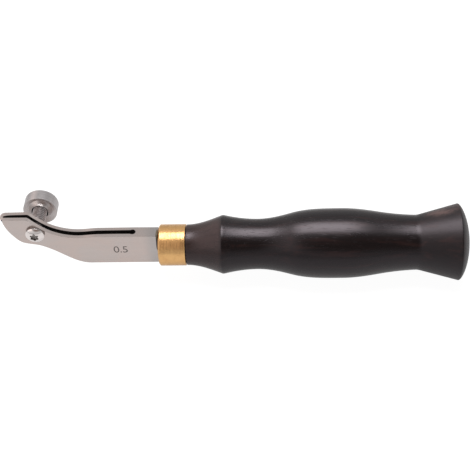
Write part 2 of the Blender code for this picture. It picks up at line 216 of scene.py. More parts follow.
# Tones of the studio as the tool mirrors it
ROOM_TONE = (0.6, 0.6, 0.6)
ENDS_TONE = (0.95, 0.95, 0.95)
LEFT_TONE = (1.35, 1.22, 1.17)
CORNER_TONE = (0.2, 0.18, 0.17)
FRONT_TONE = (0.235, 0.19, 0.175)
WHITE = (1.0, 1.0, 1.0)
SOFTBOX_PLACE = -0.005
LOOK_PLACE = -0.1 * MM
FLOOR_SIZE = 6.0


def smooth_run(start, end, steps=RUN_STEPS):
    """Points after the start of a smooth curve; both ends are (along, across, heading in degrees)."""
    reach = hypot(end[0] - start[0], end[1] - start[1]) / 3
    first, last = Vector(start[:2]), Vector(end[:2])
    lead = first + reach * Vector((cos(radians(start[2])), sin(radians(start[2]))))
    trail = last - reach * Vector((cos(radians(end[2])), sin(radians(end[2]))))
    points = []
    for step in range(1, steps + 1):
        t = step / steps
        inner = 3 * t * (1 - t) * ((1 - t) * lead + t * trail)
        points.append((1 - t) ** 3 * first + inner + t ** 3 * last)
    return points


def smooth_chain(nodes, steps=RUN_STEPS):
    """Points along smooth runs through all the nodes."""
    points = [Vector(nodes[0][:2])]
    for start, end in zip(nodes, nodes[1:]):
        points += smooth_run(start, end, steps)
    return points


def trimmed(points, reach):
    """The points with a length cut off their end."""
    kept = list(points)
    while len(kept) > 2 and (kept[-1] - kept[-2]).length <= reach:
        reach -= (kept[-1] - kept[-2]).length
        kept.pop()
    span = (kept[-1] - kept[-2]).length
    kept[-1] = kept[-2].lerp(kept[-1], 1 - reach / span)
    return kept


def eased(before, after, reach):
    """Two chains that meet in a corner, joined by a rounding that takes a length of each."""
    corner = before[-1]
    head = trimmed(before, reach)
    tail = trimmed(after[::-1], reach)[::-1]
    bend = []
    for step in range(CORNER_STEPS + 1):
        t = step / CORNER_STEPS
        bend.append((1 - t) ** 2 * head[-1] + 2 * t * (1 - t) * corner + t * t * tail[0])
    return head[:-1] + bend + tail[1:]


def eased_line(corners, reaches):
    """Straight lines through the corners, each inner corner rounded by its own reach."""
    line = [Vector(corners[0]), Vector(corners[1])]
    for corner, reach in zip(corners[2:], reaches):
        leg = [line[-1], Vector(corner)]
        line = eased(line, leg, reach) if reach else line + leg[1:]
    return line


def height_at(points, along):
    """Height of a chain of points at a distance along the tool."""
    for first, second in zip(points, points[1:]):
        if first.x <= along <= second.x and second.x > first.x:
            return first.y + (second.y - first.y) * (along - first.x) / (second.x - first.x)
    return points[0].y if along < points[0].x else points[-1].y


def make_active(piece):
    """Select one object alone and make it the active one."""
    bpy.ops.object.select_all(action="DESELECT")
    piece.select_set(True)
    bpy.context.view_layer.objects.active = piece


def draw_chain(points):
    """In edit mode, draw a chain of edges through the points."""
    bpy.ops.mesh.select_all(action="DESELECT")
    bpy.ops.mesh.primitive_plane_add(size=MM, location=points[0])
    bpy.ops.mesh.merge(type="CENTER")
    for first, second in zip(points, points[1:]):
        bpy.ops.mesh.extrude_vertices_move(TRANSFORM_OT_translate={"value": second - first})


def start_piece(name):
    """A new empty piece at the origin, in edit mode with nothing in it."""
    bpy.ops.mesh.primitive_plane_add(size=MM, location=(0, 0, 0))
    piece = bpy.context.object
    piece.name = name
    piece.data.name = name
    bpy.ops.object.mode_set(mode="EDIT")
    bpy.ops.mesh.select_mode(type="VERT")
    bpy.ops.mesh.delete(type="VERT")
    return piece


def close_up():
    """In edit mode, merge doubled points and turn every face outwards."""
    bpy.ops.mesh.select_all(action="SELECT")
    bpy.ops.mesh.remove_doubles(threshold=MERGE)
    bpy.ops.mesh.normals_make_consistent(inside=False)


def select_where(piece, kind, test):
    """In edit mode, select the verts, edges or faces that pass a test, and nothing else."""
    bpy.ops.mesh.select_all(action="DESELECT")
    bpy.ops.mesh.select_mode(type={"verts": "VERT", "edges": "EDGE", "faces": "FACE"}[kind])
    work = bmesh.from_edit_mesh(piece.data)
    work.verts.index_update()
    for element in getattr(work, kind):
        element.select_set(test(element))
    bmesh.update_edit_mesh(piece.data)


def paint_faces(piece, slot, test):
    """Give the faces that pass a test the material in one of a piece's slots."""
    make_active(piece)
    bpy.ops.object.mode_set(mode="EDIT")
    select_where(piece, "faces", test)
    piece.active_material_index = slot
    bpy.ops.object.material_slot_assign()
    bpy.ops.object.mode_set(mode="OBJECT")


def turn(name, points, centre, axis, steps):
    """A piece turned from a profile about an axis through the centre."""
    piece = start_piece(name)
    draw_chain(points)
    bpy.ops.mesh.select_all(action="SELECT")
    bpy.ops.mesh.spin(steps=steps, angle=2 * pi, center=centre, axis=axis)
    close_up()
    bpy.ops.object.mode_set(mode="OBJECT")
    return piece


def prism(name, points, reach):
    """A closed flat outline drawn out by a vector."""
    piece = start_piece(name)
    draw_chain(list(points) + [points[0]])
    bpy.ops.mesh.select_all(action="SELECT")
    bpy.ops.mesh.remove_doubles(threshold=MERGE)
    bpy.ops.mesh.edge_face_add()
    bpy.ops.mesh.extrude_region_move(TRANSFORM_OT_translate={"value": reach})
    close_up()
    bpy.ops.object.mode_set(mode="OBJECT")
    return piece


def cut(piece, cutter):
    """Take a cutting shape out of a piece; the new faces get the cutter's material."""
    make_active(piece)
    step = piece.modifiers.new("cut", "BOOLEAN")
    step.object = cutter
    step.operation = "DIFFERENCE"
    step.solver = "EXACT"
    step.material_mode = "TRANSFER"
    bpy.ops.object.modifier_apply(modifier=step.name)
    bpy.data.objects.remove(cutter)


def round_cutter(radius, surface):
    """A round cutting bar along the adjusting screw's axis, through the whole blade."""
    bpy.ops.mesh.primitive_cylinder_add(
        vertices=SMALL_STEPS, radius=radius, depth=10 * MM,
        location=(ADJUSTER.x, MM, ADJUSTER.z), rotation=(-pi / 2, 0, 0),
    )
    cutter = bpy.context.object
    cutter.data.materials.append(surface)
    return cutter


def finish_piece(piece, surface, body, node, flat=False):
    """Shade a piece, give it its surface and let it ride on a body in place of a frame node."""
    make_active(piece)
    bpy.ops.object.shade_smooth_by_angle(angle=SMOOTH_ANGLE)
    if flat:
        even = piece.modifiers.new("even_faces", "WEIGHTED_NORMAL")
        even.keep_sharp = True
        bpy.ops.object.modifier_apply(modifier=even.name)
    if piece.data.materials:
        piece.data.materials[0] = surface
    else:
        piece.data.materials.append(surface)
    if body:
        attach(piece, body)
    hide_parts(node)
    return piece


def math_method(operation, swapped=False):
    """A method of arithmetic that adds a Math node to the shader."""
    def method(self, other):
        first, second = (other, self) if swapped else (self, other)
        return self.graph.node("ShaderNodeMath", {"operation": operation}, {0: first, 1: second})

    return method


class Flow:
    """A value on its way through a shader; arithmetic on it adds Math nodes."""

    __add__ = math_method("ADD")
    __radd__ = math_method("ADD", swapped=True)
    __sub__ = math_method("SUBTRACT")
    __rsub__ = math_method("SUBTRACT", swapped=True)
    __mul__ = math_method("MULTIPLY")

    def __init__(self, graph, socket):
        self.graph = graph
        self.socket = socket


class Graph:
    """Builds the nodes of one material or world."""

    def __init__(self, tree):
        self.tree = tree
        tree.nodes.clear()

    def node(self, kind, settings=None, inputs=None, output=0):
        """Add a node, set its settings, fill or link its sockets and hand on one of its outputs."""
        made = self.tree.nodes.new(kind)
        for key, value in (settings or {}).items():
            setattr(made, key, value)
        for key, value in (inputs or {}).items():
            if isinstance(value, Flow):
                self.tree.links.new(value.socket, made.inputs[key])
            else:
                made.inputs[key].default_value = value
        return Flow(self, made.outputs[output]) if len(made.outputs) else None

    def place(self, centre=(0, 0, 0), stretch=(1, 1, 1)):
        """The place on a piece, from a centre, with each direction stretched."""
        at = self.node("ShaderNodeTexCoord", output="Object")
        from_centre = self.node("ShaderNodeVectorMath", {"operation": "SUBTRACT"}, {0: at, 1: centre})
        return self.node("ShaderNodeVectorMath", {"operation": "MULTIPLY"}, {0: from_centre, 1: stretch})

    def split(self, vector):
        """The three parts of a vector."""
        return [self.node("ShaderNodeSeparateXYZ", None, {0: vector}, part) for part in range(3)]

    def join(self, x, y, z):
        """A vector from three parts."""
        return self.node("ShaderNodeCombineXYZ", None, {0: x, 1: y, 2: z})

    def noise(self, vector, detail=2.0, roughness=0.5):
        """Soft noise between 0 and 1."""
        values = {"Vector": vector, "Scale": 1.0, "Detail": detail, "Roughness": roughness}
        return self.node("ShaderNodeTexNoise", None, values)

    def rise(self, value, low, high):
        """0 below low, 1 above high and smooth between them."""
        settings = {"interpolation_type": "SMOOTHSTEP"}
        inputs = {"Value": value, "From Min": low, "From Max": high}
        return self.node("ShaderNodeMapRange", settings, inputs)

    def mix(self, share, first, second):
        """A colour between two colours."""
        first, second = (c if isinstance(c, Flow) else (*c, 1.0) for c in (first, second))
        return self.node("ShaderNodeMix", {"data_type": "RGBA"}, {0: share, 6: first, 7: second}, 2)

    def bump(self, height, distance):
        """A normal for a relief that is a distance high."""
        return self.node("ShaderNodeBump", None, {"Strength": 1.0, "Distance": distance, "Height": height})

    def root(self, value):
        """The square root of a value."""
        return self.node("ShaderNodeMath", {"operation": "SQRT"}, {0: value})

    def ray(self, kind):
        """1 for rays of one kind, else 0."""
        return self.node("ShaderNodeLightPath", output=f"Is {kind} Ray")

    def towards(self, heading, direction):
        """How far a heading faces a direction, up to 1."""
        inputs = {0: heading, 1: direction}
        return self.node("ShaderNodeVectorMath", {"operation": "DOT_PRODUCT"}, inputs, "Value")

    def ring_place(self):
        """Distance from the adjusting screw's axis, and place along it."""
        x, y, z = self.split(self.place(centre=ADJUSTER))
        return self.root(x * x + z * z), y


def new_surface(name, build, *values):
    """A material whose shader a function builds."""
    surface = bpy.data.materials.new(name)
    surface.use_nodes = True
    graph = Graph(surface.node_tree)
    shader = graph.node("ShaderNodeBsdfPrincipled", None, build(graph, *values))
    graph.node("ShaderNodeOutputMaterial", None, {"Surface": shader})
    return surface


def wood_look(graph, settings):
    """Near-black polished wood: long streaks, fine pores and faint growth rings."""
    drift = graph.noise(graph.place(ON_AXIS, (40, 160, 160)), detail=3.0)
    x, y, z = graph.split(graph.place(ON_AXIS))
    wander = (drift - 0.5) * 0.0035
    along = graph.join(x * 22, (y + wander) * 620, (z - wander) * 620)
    streaks = graph.noise(along, detail=4.0, roughness=0.6)
    fibres = graph.noise(graph.join(x * 90, y * 3400, z * 3400), roughness=0.6)
    pores = graph.rise(graph.noise(graph.join(x * 260, y * 5200, z * 5200), detail=1.0), 0.66, 0.74)
    off_x = y + 0.021 + wander * 2
    off_z = z - 0.012 + wander
    ring = graph.root(off_x * off_x + off_z * off_z)
    rings = graph.noise(graph.join(ring * 900, x * 6, 0.0), detail=3.0)
    brown = graph.rise(streaks * 0.62 + rings * 0.38, 0.47, 0.66)
    tone = graph.mix(brown, settings.heart_colour, settings.streak_colour)
    tone = graph.mix(graph.rise(fibres, 0.5, 0.8) * 0.3, tone, settings.fibre_colour)
    neck = 1 - graph.rise(x, *NECK_FADE)
    tone = graph.mix(neck * (0.25 + streaks * 0.9), tone, settings.neck_colour)
    from_pale = graph.place(PALE_SPOT, PALE_STRETCH)
    pale_distance = graph.node("ShaderNodeVectorMath", {"operation": "LENGTH"}, {0: from_pale}, 1)
    pale = 1 - graph.rise(pale_distance, 0.3, 1.0)
    pale_grain = graph.rise(streaks * 0.6 + fibres * 0.4, 0.36, 0.66)
    tone = graph.mix(pale * pale_grain, tone, settings.butt_colour)
    tone = graph.mix(pores * 0.7, tone, (0.002, 0.0016, 0.0015))
    relief = fibres * 0.35 + streaks * 1.8 - pores * 0.9
    return {
        "Base Color": tone,
        "Roughness": 0.23 + streaks * 0.10 + pores * 0.12 + graph.rise(x, *FLARE_FADE) * 0.14,
        "IOR": 1.46,
        "Specular Tint": (1.0, 0.88, 0.95, 1.0),
        "Normal": graph.bump(relief, 0.000014),
    }


def metal(tone, roughness, normal):
    """Inputs of a bare metal's shader."""
    return {"Base Color": tone, "Metallic": 1.0, "Roughness": roughness, "Normal": normal}


def brass_look(graph, settings):
    """Turned yellow brass: fine lines round the ring, with a breath of tarnish."""
    x, y, z = graph.split(graph.place(ON_AXIS))
    lines = graph.noise(graph.join(x * 9000, y * 45, z * 45), roughness=0.7)
    cloud = graph.noise(graph.place(ON_AXIS, (420, 420, 420)), detail=3.0, roughness=0.6)
    dents = graph.noise(graph.place(ON_AXIS, (330, 330, 330)), detail=1.0)
    tone = graph.mix(graph.rise(cloud, 0.35, 0.75) * 0.45, settings.colour, settings.tarnish_colour)
    tone = graph.mix(lines * 0.18, tone, settings.tarnish_colour)
    return metal(tone, 0.16 + lines * 0.06 + cloud * 0.08, graph.bump(lines + dents * 0.14, 0.00008))


def steel_look(graph, settings):
    """Satin steel, brushed along the blade."""
    x, y, z = graph.split(graph.place())
    brush = graph.noise(graph.join(x * 130, y * 60, z * 9000), detail=3.0, roughness=0.65)
    bands = graph.noise(graph.join(x * 40, y * 60, z * 1300))
    cloud = graph.noise(graph.place(stretch=(160, 220, 220)))
    tone = graph.mix(graph.rise(cloud, 0.3, 0.7), settings.steel_colour, settings.steel_warm_colour)
    tone = graph.mix(graph.rise(brush * 0.6 + bands * 0.4, 0.35, 0.65) * 0.22, tone, settings.brush_colour)
    # Painted shade and reflection: the shank turns duller and cooler towards the ferrule
    heel = graph.rise(x, FERRULE_FRONT - 6.0 * MM, FERRULE_FRONT - 1.2 * MM)
    tone = graph.mix(heel * (0.45 + cloud * 0.35), tone, settings.heel_shade_colour)
    return metal(tone, 0.17 + brush * 0.08, graph.bump(brush * 0.6 + bands * 0.4, 0.000008))


def turned_look(graph, settings):
    """Turned steel: fine rings about the adjusting screw's axis."""
    radius, y = graph.ring_place()
    rings = graph.noise(graph.join(radius * 7000, y * 7000, 0.0), roughness=0.7)
    cloud = graph.noise(graph.place(stretch=(500, 500, 500)))
    tone = graph.mix(graph.rise(cloud, 0.3, 0.7), settings.steel_colour, settings.steel_warm_colour)
    tone = graph.mix(rings * 0.25, tone, settings.groove_colour)
    return metal(tone, 0.34 + rings * 0.1, graph.bump(rings, 0.00002))


def grip_look(graph, settings):
    """Matt side of the knob, with lines round it from turning."""
    radius, y = graph.ring_place()
    lines = graph.noise(graph.join(y * 2600, radius * 300, 0.0), roughness=0.7)
    speckle = graph.noise(graph.place(stretch=(3200, 3200, 3200)))
    dull = [0.8 * part for part in settings.grip_colour]
    tone = graph.mix(graph.rise(lines * 0.7 + speckle * 0.3, 0.35, 0.65), dull, settings.grip_colour)
    return metal(tone, 0.27 + lines * 0.1, graph.bump(lines * 0.6 + speckle * 0.4, 0.00001))


def thread_look(graph, settings):
    """Dull, mottled steel of a cut thread, with painted shade in its valleys."""
    radius = graph.ring_place()[0]
    valley = 1 - graph.rise(radius, STUD_RADIUS - 0.36 * MM, STUD_RADIUS - 0.08 * MM)
    speckle = graph.noise(graph.place(stretch=(2600, 2600, 2600)), detail=3.0, roughness=0.7)
    cloud = graph.noise(graph.place(stretch=(700, 700, 700)))
    mottle = graph.rise(speckle * 0.6 + cloud * 0.4, 0.36, 0.64)
    tone = graph.mix(mottle, [0.6 * part for part in settings.thread_colour], settings.thread_colour)
    # Painted shade: the thread's valleys darken towards the minor radius
    tone = graph.mix(valley * 0.75, tone, (0.05, 0.045, 0.045))
    return metal(tone, 0.3 + speckle * 0.16, graph.bump(speckle, 0.00003))


def screw_look(graph, settings):
    """Bright screw steel with faint rings from the heading tool."""
    radius, y = graph.ring_place()
    rings = graph.noise(graph.join(radius * 5200, y * 3000, 0.0))
    cloud = graph.noise(graph.place(stretch=(900, 900, 900)))
    tone = graph.mix(graph.rise(cloud, 0.35, 0.7) * 0.5, settings.screw_colour, settings.screw_warm_colour)
    return metal(tone, 0.08 + cloud * 0.07, graph.bump(rings, 0.000003))


def glue_look(graph, colour):
    """Dark dried glue, paler and more olive towards its top."""
    z = graph.split(graph.place(ON_AXIS))[2]
    lumps = graph.noise(graph.place(stretch=(1800, 1800, 1800)))
    top = graph.rise(z, 0.0045, 0.0062)
    tone = graph.mix(top * (0.4 + lumps), colour, (0.105, 0.085, 0.050))
    return {
        "Base Color": tone,
        "Roughness": 0.3 + lumps * 0.2,
        "Normal": graph.bump(lumps, 0.00004),
    }


def oxide_and_shade_look(graph, colour):
    """Dark steel for cuts and hollows: oxide in the size number, painted shade in the slit, bore, socket
    and screw wall.
    """
    grain = graph.noise(graph.place(stretch=(3000, 3000, 3000)))
    tone = graph.mix(grain * 0.6, colour, [part * 1.9 for part in colour])
    return {
        "Base Color": tone,
        "Metallic": 0.7,
        "Roughness": 0.5 + grain * 0.2,
        "Normal": graph.bump(grain, 0.00001),
    }


def length(name, text, default):
    """A length that a user can change."""
    return FloatProperty(name=name, description=text, default=default, unit="LENGTH", precision=5)


def power(name, text, default):
    """A lamp's power in watts that a user can change."""
    return FloatProperty(name=name, description=text, default=default, unit="POWER", min=0.0)


def colour(name, text, default):
    """A colour that a user can change."""
    return FloatVectorProperty(
        name=name, description=text, default=default, subtype="COLOR", size=3, min=0.0, max=1.0
    )


class CreaserHandle(bpy.types.PropertyGroup):
    """Sizes and colours of the wooden handle."""

    ridge_round: length("Ridge rounding", "Reach of the rounding on the collar's ridge", 0.16 * MM)
    crease_round: length("Crease rounding", "Reach of the rounding where the butt flares", 0.9 * MM)
    heart_colour: colour("Heartwood", "Darkest wood", (0.0022, 0.0015, 0.0014))
    streak_colour: colour("Streaks", "Red-brown streaks along the grain", (0.016, 0.0062, 0.0050))
    fibre_colour: colour("Fibres", "Fine lighter fibres", (0.013, 0.0075, 0.0065))
    neck_colour: colour("Neck", "Drier wood at the neck", (0.041, 0.0245, 0.0215))
    butt_colour: colour("Pale grain", "Paler grain at the top of the butt", (0.105, 0.066, 0.060))


class CreaserFerrule(bpy.types.PropertyGroup):
    """Sizes and colours of the brass ferrule."""

    chamfer_run: length("Chamfer run", "Length of the front chamfer along the tool", 0.5 * MM)
    chamfer_drop: length("Chamfer drop", "Depth of the front chamfer", 0.6 * MM)
    edge_round: length("Edge rounding", "Reach of the rounding on the ring's edges", 0.12 * MM)
    back_round: length("Back rounding", "Reach of the rounding at the ring's back", 0.18 * MM)
    wall: length("Wall", "Thickness of the ring", 0.85 * MM)
    colour: colour("Brass", "Clean brass", (0.86, 0.515, 0.215))
    tarnish_colour: colour("Tarnish", "Dulled brass", (0.66, 0.36, 0.15))


class CreaserBlade(bpy.types.PropertyGroup):
    """Sizes and colours of the blade and its jaws."""

    edge_break: length("Edge break", "Rounding along the blade's edges", 0.04 * MM)
    tip_closing: length("Tip closing", "How far the spring jaw's tip leans in to the fixed jaw", 0.6 * MM)
    tip_closing_reach: length("Closing reach", "Length over which the tips lean together", 0.8 * MM)
    mark: StringProperty(name="Size mark", description="Plain number cut into the shank", default="0.5")
    mark_height: length("Mark height", "Height of the number", 3.05 * MM)
    mark_depth: length("Mark depth", "Depth of the number", 0.12 * MM)
    steel_colour: colour("Steel", "Satin steel", (0.605, 0.535, 0.51))
    steel_warm_colour: colour("Warm steel", "Warmer clouds in the steel", (0.63, 0.53, 0.495))
    brush_colour: colour("Brush lines", "Dark lines of the brushing", (0.50, 0.44, 0.42))
    # Painted shade and reflection on the steel next to the ferrule
    heel_shade_colour: colour("Shank's foot", "Duller steel next to the ferrule", (0.44, 0.43, 0.425))
    glue_colour: colour("Glue", "Dried glue at the shank's foot", (0.030, 0.014, 0.011))
    # Painted shade: near-black steel standing in for the shade inside the slit
    slit_shade_colour: colour("Slit", "Dark steel inside the slit", (0.034, 0.030, 0.028))
    mark_colour: colour("Number", "Dark steel inside the number", (0.22, 0.202, 0.194))


class CreaserAdjuster(bpy.types.PropertyGroup):
    """Sizes and colours of the adjusting screw."""

    pitch: length("Thread pitch", "Distance between the stud's threads", 0.8 * MM)
    thread_depth: length("Thread depth", "Depth of the stud's thread", 0.42 * MM)
    knob_chamfer: length("Knob chamfer", "Chamfer at the knob's far edge", 0.5 * MM)
    knob_edge: length("Knob edge", "Chamfer at the knob's near edge", 0.04 * MM)
    knob_drop: length("Rim drop", "How far the knob's near rim stands behind its boss", 0.85 * MM)
    boss_height: length("Boss height", "Height of the boss above the bottom of the dish", 1.55 * MM)
    boss_spread: length("Boss spread", "How far the boss widens towards the bottom", 1.05 * MM)
    knob_bore: length("Knob bore", "Radius of the hole round the stud", 2.85 * MM)
    knob_grooves: IntProperty(name="Grooves", description="Fine grooves round the knob", default=7, min=0)
    grip_colour: colour("Grip", "Matt steel on the knob's side", (0.51, 0.48, 0.48))
    thread_colour: colour("Thread", "Dark steel of the stud's thread", (0.70, 0.655, 0.655))
    head_wall: length("Screw head wall", "Height of the screw head's wall", 0.85 * MM)
    head_taper: length("Screw head taper", "How far the screw head narrows towards its seat", 0.25 * MM)
    head_dome: length("Screw head dome", "Height of the screw head's low dome", 1.2 * MM)
    lobe_count: IntProperty(name="Lobes", description="Lobes of the screw's socket", default=6, min=3)
    lobe_radius: length("Socket radius", "Middle radius of the lobed socket", 1.33 * MM)
    lobe_swing: length("Lobe swing", "How far each lobe goes in and out", 0.22 * MM)
    lobe_depth: length("Socket depth", "Depth of the lobed socket", 0.8 * MM)
    steel_colour: colour("Turned steel", "Turned steel", (0.64, 0.605, 0.605))
    steel_warm_colour: colour("Warm steel", "Warmer clouds in the steel", (0.65, 0.595, 0.575))
    groove_colour: colour("Grooves", "Dark lines left by turning", (0.46, 0.42, 0.41))
    screw_colour: colour("Screw steel", "Bright screw head", (0.88, 0.82, 0.80))
    screw_warm_colour: colour("Warm screw steel", "Warmer clouds on the screw head", (0.81, 0.745, 0.72))
    # Painted shade: darker steel inside the socket, where the recess lies in shade
    socket_shade_colour: colour("Socket", "Dark steel inside the socket", (0.27, 0.25, 0.24))
    # Painted shade: darker steel on the head's wall, for the shade line round the head
    wall_shade_colour: colour("Screw wall", "Dull steel on the screw head's wall", (0.24, 0.222, 0.215))
    # Painted shade: near-black steel in the gap round the stud
    bore_shade_colour: colour("Bore", "Dark gap round the stud", (0.014, 0.012, 0.011))


class CreaserStage(bpy.types.PropertyGroup):
    """Floor, light and camera."""

    floor_colour: colour("Floor", "Plain pale floor", (0.75, 0.75, 0.75))
    softbox_height: length("Softbox height", "Height of the overhead softbox", 0.5)
    softbox_length: length("Softbox length", "Size of the softbox along the tool", 0.34)
    softbox_depth: length("Softbox depth", "Size of the softbox across the tool", 0.294)
    softbox_back: length("Softbox offset", "How far the softbox stands behind the tool", 0.086)
    full_power: power("Full power", "Power of the softbox on the handle", 2.3)
    half_power: power("Half power", "Power of the softbox on the ferrule and the knob", 1.6)
    low_power: power("Low power", "Power of the softbox on the blade", 0.39)
    azimuth: FloatProperty(
        name="Azimuth", description="Camera's bearing", default=radians(-4.4), subtype="ANGLE")
    elevation: FloatProperty(
        name="Elevation", description="Camera's height angle", default=radians(45.0), subtype="ANGLE")
    roll: FloatProperty(name="Roll", description="Camera's roll", default=radians(-3.77), subtype="ANGLE")
    distance: length("Distance", "Camera's distance from the tool", 0.372)
    rise: length("Rise", "How far the camera looks above the tool's axis", 3.06 * MM)
    lens: FloatProperty(name="Lens", description="Focal length", default=85.2, unit="CAMERA")


class CREASER_OT_handle(bpy.types.Operator):
    """Turn the wooden handle, with its collar, waist, belly and domed butt"""

    bl_idname = "creaser.handle"
    bl_label = "Handle"

    def execute(self, context):
        settings = context.scene.creaser_handle
        neck = smooth_chain(NECK_NODES)
        grip = smooth_chain(GRIP_NODES)
        cone = [grip[-1], Vector(RIM_NODE)]
        dome = []
        for step in range(3 * RUN_STEPS + 1):
            swing = pi / 2 * (1 - step / (3 * RUN_STEPS))
            rise = DOME_HEIGHT * max(0.0, cos(swing)) ** DOME_FULLNESS
            dome.append(Vector((RIM_NODE[0] + RIM_LAND + rise, RIM_NODE[1] * sin(swing))))
        front = (SPIGOT_FRONT - SHOULDER) / MM
        spigot = [Vector((front, 0.0)), Vector((front, SPIGOT_RADIUS)), Vector((0.0, SPIGOT_RADIUS))]
        outline = eased(spigot[:2], spigot[1:], SHOULDER_ROUND) + [neck[0]]
        outline = eased(outline, neck, SHOULDER_ROUND)
        outline = eased(outline, [neck[-1], grip[0]], settings.ridge_round / MM)
        outline = eased(outline, grip, settings.ridge_round / MM)
        outline = eased(outline, cone, settings.crease_round / MM)
        outline = eased(outline, [cone[-1], dome[0]], RIM_LAND / 3)
        outline = eased(outline, dome, RIM_LAND / 2)
        points = [Vector((SHOULDER + p.x * MM, 0.0, AXIS_HEIGHT + p.y * MM)) for p in outline]
        handle = turn("wood_handle", points, ON_AXIS, (1, 0, 0), TURNED_STEPS)
        wood = new_surface("polished_wood", wood_look, settings)
        middle = (SPIGOT_FRONT + TANG_SLOT_MIDDLE, 0, AXIS_HEIGHT)
        bpy.ops.mesh.primitive_cube_add(size=1.0, location=middle)
        slot = context.object
        bpy.ops.transform.resize(value=TANG_SLOT)
        slot.data.materials.append(wood)
        handle.data.materials.append(wood)
        cut(handle, slot)
        finish_piece(handle, wood, "tool", "handle")
        return {"FINISHED"}


class CREASER_OT_ferrule(bpy.types.Operator):
    """Turn the brass ring at the handle's front"""

    bl_idname = "creaser.ferrule"
    bl_label = "Ferrule"

    def execute(self, context):
        settings = context.scene.creaser_ferrule
        radius = half_height("ferrule")
        bore = radius - settings.wall
        start = (FERRULE_FRONT + 3 * MM, bore)
        corners = (
            start,
            (FERRULE_FRONT, bore),
            (FERRULE_FRONT, radius - settings.chamfer_drop),
            (FERRULE_FRONT + settings.chamfer_run, radius),
            (FERRULE_BACK, radius),
            (FERRULE_BACK, bore),
            start,
        )
        edge = settings.edge_round
        outline = eased_line(corners, (edge, edge, edge, settings.back_round, edge))
        points = [Vector((p.x, 0.0, AXIS_HEIGHT + p.y)) for p in outline]
        ring = turn("brass_ferrule", points, ON_AXIS, (1, 0, 0), TURNED_STEPS)
        brass = new_surface("ferrule_brass", brass_look, settings)
        finish_piece(ring, brass, "tool", "ferrule")
        return {"FINISHED"}


def blade_stations(tip, last, extra):
    """Places along a jaw in millimetres, close together at the tip and further apart behind it."""
    places = [tip]
    gap = FIRST_STEP
    while places[-1] + 1.5 * gap < last:
        places.append(places[-1] + gap)
        gap = min(gap * STEP_GROWTH, LONGEST_STEP)
    return sorted(set(places + list(extra) + [last]))


def blade_edges(tip, last, corner, lower_nodes=LOWER_NODES, extra=()):
    """The upper and lower edge of a jaw, point by point in millimetres, from its cut-off tip."""
    straight = 8.0
    run, drop = corner
    upper = [Vector((tip + run, HEAD_TOP))] + smooth_chain(UPPER_NODES) + [Vector(HEEL[:2])]
    lower = smooth_chain(((tip, HEAD_TOP - drop, TIP_HEADING),) + lower_nodes, 3 * RUN_STEPS)
    lower += [Vector((HEEL[0], HEEL[2]))]
    high, low = [], []
    for place in blade_stations(tip, last, extra):
        lag = run * max(0.0, 1 - (place - tip) / straight)
        high.append(Vector((place + lag, height_at(upper, place + lag))))
        low.append(Vector((place, height_at(lower, place))))
    return high, low


def bar(name, high, low, near, far, edge_break, joined=False):
    """A bar between two edges, with its wide faces placed by functions.

    A joined bar keeps its edges sharp on the near face and at the root, where it meets another piece.
    """
    def in_space(edge, face):
        return [Vector((TIP + p.x * MM, face(p.x) * MM, AXIS_HEIGHT + p.y * MM)) for p in edge]

    piece = start_piece(name)
    chains = (in_space(high, near), in_space(low, near), in_space(low, far), in_space(high, far))
    for chain in chains:
        bpy.ops.mesh.select_mode(type="VERT")
        draw_chain(chain)
    count = len(high)
    for turn_index in range(4):
        pair = {turn_index, (turn_index + 1) % 4}

        def on_pair(edge):
            first, second = (vert.index for vert in edge.verts)
            return first // count == second // count and first // count in pair

        select_where(piece, "edges", on_pair)
        bpy.ops.mesh.bridge_edge_loops()
    bpy.ops.mesh.select_all(action="SELECT")
    bpy.ops.mesh.fill_holes(sides=0)
    close_up()

    root = chains[0][-1].x

    def to_break(edge):
        ends = [vert.co for vert in edge.verts]
        on_near = all(end.y < near((end.x - TIP) / MM) * MM + 0.01 * MM for end in ends)
        at_root = all(end.x > root - 0.01 * MM for end in ends)
        return edge.calc_face_angle(0.0) > radians(45) and not (joined and (on_near or at_root))

    select_where(piece, "edges", to_break)
    bpy.ops.mesh.bevel(offset=edge_break, segments=3, profile=0.5, affect="EDGES", clamp_overlap=True)
    bpy.ops.object.mode_set(mode="OBJECT")
    return piece


def slit_width(place):
    """Gap between the jaws in millimetres, closing evenly from the slit's end to the tip."""
    return SLIT_AT_TIP + (SLIT_AT_ROOT - SLIT_AT_TIP) * place / SLIT_STOP


